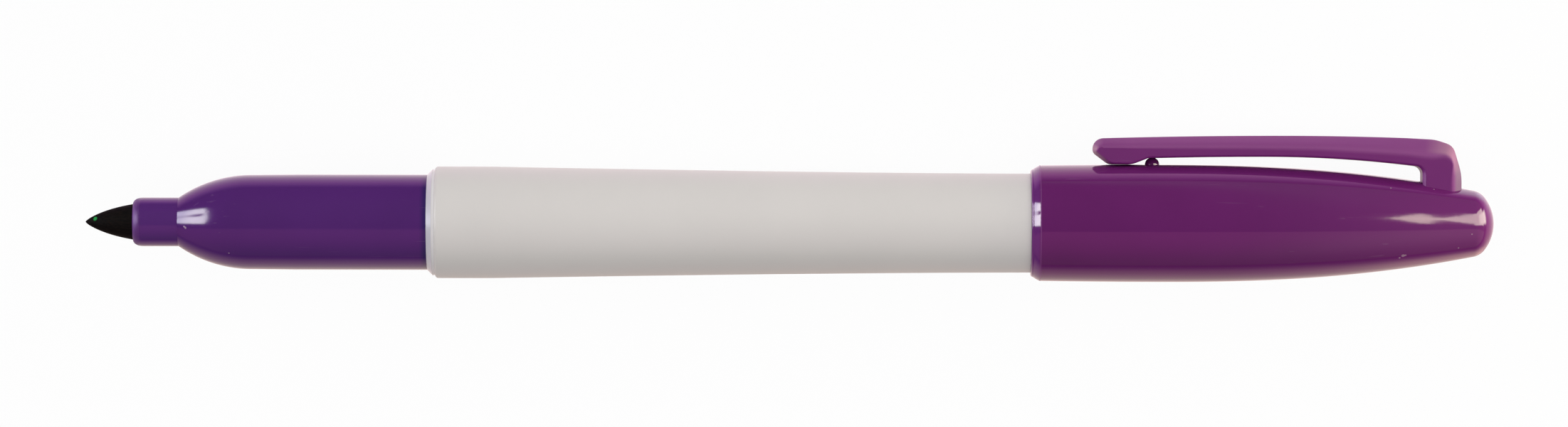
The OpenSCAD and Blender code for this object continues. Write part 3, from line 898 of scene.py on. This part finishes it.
def makeClip():
    shape = bevelShape
    nose = place["clip"] + clipSize["noseTop"]
    rows = postRows() + armRows(nose) + underRows(nose)
    count = len(rows)
    half = clipSize["width"] / 2
    profile = bevelPoints()
    layers = [(-1, *point) for point in profile] + [(1, *point) for point in reversed(profile)]
    verts, faces, edge, rubbed = [], [], [], []
    for side, inset, deep in layers:
        for outer, inner, depth in rows:
            fade = max(shape["fadeLeast"], ramp(outer.x, nose, nose + shape["fadeRun"]))
            spot = outer.lerp(inner, min(inset, shape["flat"]) + max(0, inset - shape["flat"]) * fade)
            verts.append((spot.x, side * (half - depth * deep), spot.y))
            # painted light: a lighter shade on the deep bevels, fading onto the flat side
            litBevel = ramp(depth, *shape["litBevelDepth"])
            edge.append(litBevel * ramp(inset, shape["fade"], shape["fade"] - shape["litBevelFade"]))
            # painted light: lighter near the listed spots on the clip's corners and nose
            litShare = max(ramp((outer - Vector(at)).length, reach, 0) for at, reach in shape["rubbed"])
            rubbed.append(litShare * ramp(inset, *shape["litSpotFade"]))
    for k in range(len(layers) - 1):
        for i in range(count):
            j = (i + 1) % count
            faces.append((k * count + i, k * count + j, (k + 1) * count + j, (k + 1) * count + i))
    faces.append(range(count))
    faces.append(range(len(verts) - 1, len(verts) - 1 - count, -1))
    clip = finishMesh("clipMoulding", verts, faces, "clip", sharp=60)
    for layer, values in {"edge": edge, "rubbed": rubbed}.items():
        clip.data.attributes.new(layer, "FLOAT", "POINT").data.foreach_set("value", values)
    return clip


flexSet = {"behind": 0.5, "ahead": 12.0, "height": 7.7}  # a stretch of the arm about the pivot: how far behind and ahead of it, and its height

clip = makeClip()
flexStart = penFrame @ (Vector((place["pivot"] + flexSet["behind"], 0, flexSet["height"])) * mm)
flexEnd = penFrame @ (Vector((place["pivot"] - flexSet["ahead"], 0, flexSet["height"])) * mm)
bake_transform(clip)
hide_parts("clip_arm")

# The sealed pieces keep their CAD shapes
for node, finish in {"ink_reservoir": "reservoir", "reservoir_film": "film"}.items():
    mesh = frame["nodes"][node].data
    mesh.materials.clear()
    mesh.materials.append(finishes[finish])
print("pieces made")


# Camera

cameraSet = {
    "distance": 900.0, "lens": 191.5, "sensor": 36.0, "nearest": 50.0,
    "leftOfMiddle": 0.603, "aboveAxis": 1.0, "roll": 0.085,
}


def makeCamera():
    camera = bpy.data.objects.new("camera", bpy.data.cameras.new("camera"))
    bpy.context.scene.collection.objects.link(camera)
    camera.data.sensor_width = cameraSet["sensor"]
    camera.data.sensor_fit = "HORIZONTAL"
    camera.data.lens = cameraSet["lens"]
    camera.data.clip_start = cameraSet["nearest"] * mm
    middle = place["end"] / 2
    spot = Vector((middle - cameraSet["leftOfMiddle"], -cameraSet["distance"], cameraSet["aboveAxis"]))
    facing = Matrix(((1, 0, 0), (0, 0, -1), (0, 1, 0)))  # looks along the pen's Y
    facing = facing @ Matrix.Rotation(math.radians(cameraSet["roll"]), 3, "Z")
    camera.matrix_world = Matrix.Translation(penFrame @ (spot * mm)) @ (penTurn @ facing).to_4x4()
    bpy.context.scene.camera = camera


makeCamera()


# Light: an even white surround, and what the gloss reflects: the table behind, a dim room and soft boxes
# Directions are in degrees: across from the camera towards the cap, and height above the pen's level

leftBox = {
    "across": (-112, -42.5), "soft": 1.5, "floor": -4.5, "floorSoft": 1.0, "top": 31.7, "topSoft": 1.5,
    "middle": -62.0, "tilt": 0.185, "bow": 4.5, "bowFrom": 0.45,
    "slit": (12.2, 18.4), "slitSoft": 0.7, "slitGlow": (0.7, 0.05), "slitRun": (-66, -54),
    "slitEnd": (-50, -46),
    "shades": (colour(9.0, 9.0, 10.5), grey(14)), "shadeRun": (-76, -58),
}


def leftBoxLight(sheet, across, height):  # a tall box on the nib's side, crossed by a dim slit
    box = leftBox
    level = height - (across - box["middle"]) * box["tilt"]
    middle, half = (box["top"] + box["floor"]) / 2, (box["top"] - box["floor"]) / 2
    offBow = (level - middle) / half + box["bowFrom"]
    bowed = across + offBow * offBow * box["bow"]
    slitFirst, slitLast = box["slitGlow"]
    dim = slitFirst + sheet.rise(across, *box["slitRun"]) * (slitLast - slitFirst)
    slit = sheet.band(level, *box["slit"], box["slitSoft"]) * (1 - dim)
    slit = slit * (1 - sheet.rise(across, *box["slitEnd"]))
    aboveFloor = sheet.step(height, box["floor"], box["floorSoft"])
    belowTop = 1 - sheet.step(level, box["top"], box["topSoft"])
    glow = sheet.band(bowed, *box["across"], box["soft"]) * aboveFloor * belowTop * (1 - slit)
    return glow, sheet.mix(sheet.rise(across, *box["shadeRun"]), *box["shades"])


wing = {
    "across": (18.4, 28.0), "end": 80.0, "soft": 0.4, "bow": 0.0022,
    "middle": 12.8, "half": 18.5, "edge": 0.6,
    "shape": [(0.0, grey(0.0)), (0.385, grey(0.81)), (0.5, grey(0.05)), (1.0, grey(1.0))],
    "liftRun": (24, 58), "lift": 4.5, "spread": 3.0,
    "shades": (colour(8.6, 7.5, 5.9), colour(7.9, 6.9, 5.7)), "shadeRun": (0.45, 0.9),
}


def wingLight(sheet, across, height):  # a panel on the cap's side, pinched to a waist
    start, end = wing["across"]
    bowed = across - height * height * wing["bow"]
    share = (bowed - start) / (end - start)
    lift = sheet.rise(across, *wing["liftRun"])
    reach = sheet.stops(share, wing["shape"]) * wing["half"] + lift * wing["spread"]
    past = abs(height - wing["middle"] - lift * wing["lift"]) - reach
    glow = sheet.band(bowed, start, wing["end"], wing["soft"]) * (1 - sheet.step(past, 0, wing["edge"]))
    return glow, sheet.mix(sheet.rise(share, *wing["shadeRun"]), *wing["shades"])


rightBox = {
    "across": (50, 101), "soft": 9.0, "height": (0, 27), "edge": 4.0, "shade": colour(11.0, 10.12, 8.14),
}


def rightBoxLight(sheet, across, height):  # a bright box past the cap's end
    box = rightBox
    glow = sheet.band(across, *box["across"], box["soft"]) * sheet.band(height, *box["height"], box["edge"])
    return glow, box["shade"]


roomSet = {
    "turn": (2, 26), "above": (grey(0.06), grey(0.26)), "horizon": -17.0, "horizonSoft": 0.5,
    "below": (colour(0.54, 0.19, 0.34), colour(0.84, 0.60, 0.58)),
    "deep": colour(0.10, 0.14, 0.03), "deepRun": (-90, -25),
}


def roomLight(sheet, across, height):  # the room on the camera's side, dark above and warmer below
    room = roomSet
    toRight = sheet.rise(across, *room["turn"])
    below = sheet.mix(sheet.rise(height, *room["deepRun"]), room["deep"], sheet.mix(toRight, *room["below"]))
    above = sheet.mix(toRight, *room["above"])
    return sheet.mix(sheet.step(height, room["horizon"], room["horizonSoft"]), below, above)


tableSet = {
    "edge": (0.0, 0.08), "heightRun": (-20, 20),
    "low": [(0.05, grey(0)), (0.156, colour(0.25, 0.14, 0.20)), (0.34, colour(0.78, 0.46, 0.50)),
            (0.55, colour(1.02, 0.66, 0.66)), (0.73, colour(1.05, 0.78, 0.68)), (1, colour(1.1, 0.9, 0.8))],
    "high": [(0.05, grey(0)), (0.156, colour(0.45, 0.22, 0.50)), (0.34, colour(1.15, 0.52, 1.05)),
             (0.55, colour(1.38, 0.82, 1.20)), (0.77, colour(1.50, 1.15, 1.28)), (1, colour(1.5, 1.3, 1.35))],
    "rightShades": (colour(2.3, 1.55, 1.2), colour(2.1, 2.0, 2.2)),
    "rightFrom": (0.08, 0.35), "rightTo": (0.5, 0.72), "rightDepth": (0.25, 0.6), "rightHeight": (12, 32),
}


def tableLight(sheet, x, y, height):  # the table behind the pen, paler the more squarely it is met
    table = tableSet
    upper = sheet.rise(height, *table["heightRun"])
    shade = sheet.mix(upper, sheet.stops(y, table["low"]), sheet.stops(y, table["high"]))
    toRight = sheet.rise(x, *table["rightFrom"]) * (1 - sheet.rise(x, *table["rightTo"]))
    toRight = toRight * sheet.rise(y, *table["rightDepth"]) * sheet.rise(abs(height), *table["rightHeight"])
    return sheet.mix(toRight, shade, sheet.mix(upper, *table["rightShades"]))


surround = {"fill": 0.785, "lean": 0.60}  # the plain light, and how much more of it comes from the row's +Y


def makeWorld():
    world = bpy.data.worlds.new("studio")
    bpy.context.scene.world = world
    sheet = Sheet(world)
    toward = sheet.node("ShaderNodeTexCoord", out="Generated")
    x, y, z = (sheet.along(toward, axis) for axis in (penX, penY, penZ))
    degrees = math.degrees(1)
    across = x.calc("ARCTAN2", x, y * -1) * degrees
    height = z.calc("ARCSINE", z) * degrees
    mirrored = roomLight(sheet, across, height)
    mirrored = sheet.over(mirrored, *leftBoxLight(sheet, across, height))
    mirrored = sheet.over(mirrored, *wingLight(sheet, across, height))
    mirrored = sheet.over(mirrored, sheet.rise(y, *tableSet["edge"]), tableLight(sheet, x, y, height))
    mirrored = sheet.over(mirrored, *rightBoxLight(sheet, across, height))
    fill = surround["fill"] + sheet.axis(toward, "Y") * surround["lean"]
    plain = sheet.node("ShaderNodeCombineXYZ", None, {0: fill, 1: fill, 2: fill})
    cameraRay = sheet.node("ShaderNodeLightPath", out="Is Camera Ray")
    seen = sheet.mix(cameraRay.other("Is Glossy Ray"), plain, mirrored)
    seen = sheet.mix(cameraRay + cameraRay.other("Is Transmission Ray"), seen, grey(1))
    glowing = sheet.node("ShaderNodeBackground", None, {"Color": seen, "Strength": 1.0})
    sheet.node("ShaderNodeOutputWorld", None, {"Surface": glowing})


makeWorld()

lampSet = {
    "spot": (290.0, 3.0, 6.0), "aim": (148.0, 0.0, 0.0),
    "size": 0.09, "power": 0.36, "shade": (1.0, 0.88, 0.62),
}


def makeLamp():
    lamp = bpy.data.lights.new("side lamp", "AREA")
    lamp.size = lampSet["size"]
    lamp.energy = lampSet["power"]
    lamp.color = lampSet["shade"]
    spot = penFrame @ (Vector(lampSet["spot"]) * mm)
    aim = penFrame @ (Vector(lampSet["aim"]) * mm)
    thing = bpy.data.objects.new("side lamp", lamp)
    thing.location = spot
    thing.rotation_euler = (aim - spot).to_track_quat("-Z", "Y").to_euler()
    thing.visible_glossy = False
    bpy.context.scene.collection.objects.link(thing)


makeLamp()

floorSet = {
    "half": 8.0, "drop": 0.05, "shades": (grey(0.9016), grey(0.9384)), "mottleSize": 60.0, "clear": 0.955,
}


def makeFloor():
    half = floorSet["half"]
    level = cadLow.z - floorSet["drop"] * mm
    mesh = bpy.data.meshes.new("floor")
    corners = [(-half, -half), (half, -half), (half, half), (-half, half)]
    mesh.from_pydata([(x, y, level) for x, y in corners], [], [(0, 1, 2, 3)])
    sheet = Sheet(bpy.data.materials.new("pale table"))
    mottle = sheet.noise(sheet.spot(), floorSet["mottleSize"])
    paper = sheet.node("ShaderNodeBsdfDiffuse", None, {"Color": sheet.mix(mottle, *floorSet["shades"])})
    clear = sheet.node("ShaderNodeBsdfTransparent")
    cameraRay = sheet.node("ShaderNodeLightPath", out="Is Camera Ray")
    through = cameraRay * floorSet["clear"]  # the camera sees little more of it than the shadow
    through = through + cameraRay.other("Is Glossy Ray") + cameraRay.other("Is Transmission Ray")
    cover = sheet.node("ShaderNodeMixShader", None, {0: through, 1: paper, 2: clear})
    mesh.materials.append(sheet.surface(cover))
    floor = bpy.data.objects.new("floor", mesh)
    bpy.context.scene.collection.objects.link(floor)


makeFloor()
bpy.context.scene.view_settings.view_transform = "Standard"
print("camera, light and floor made")
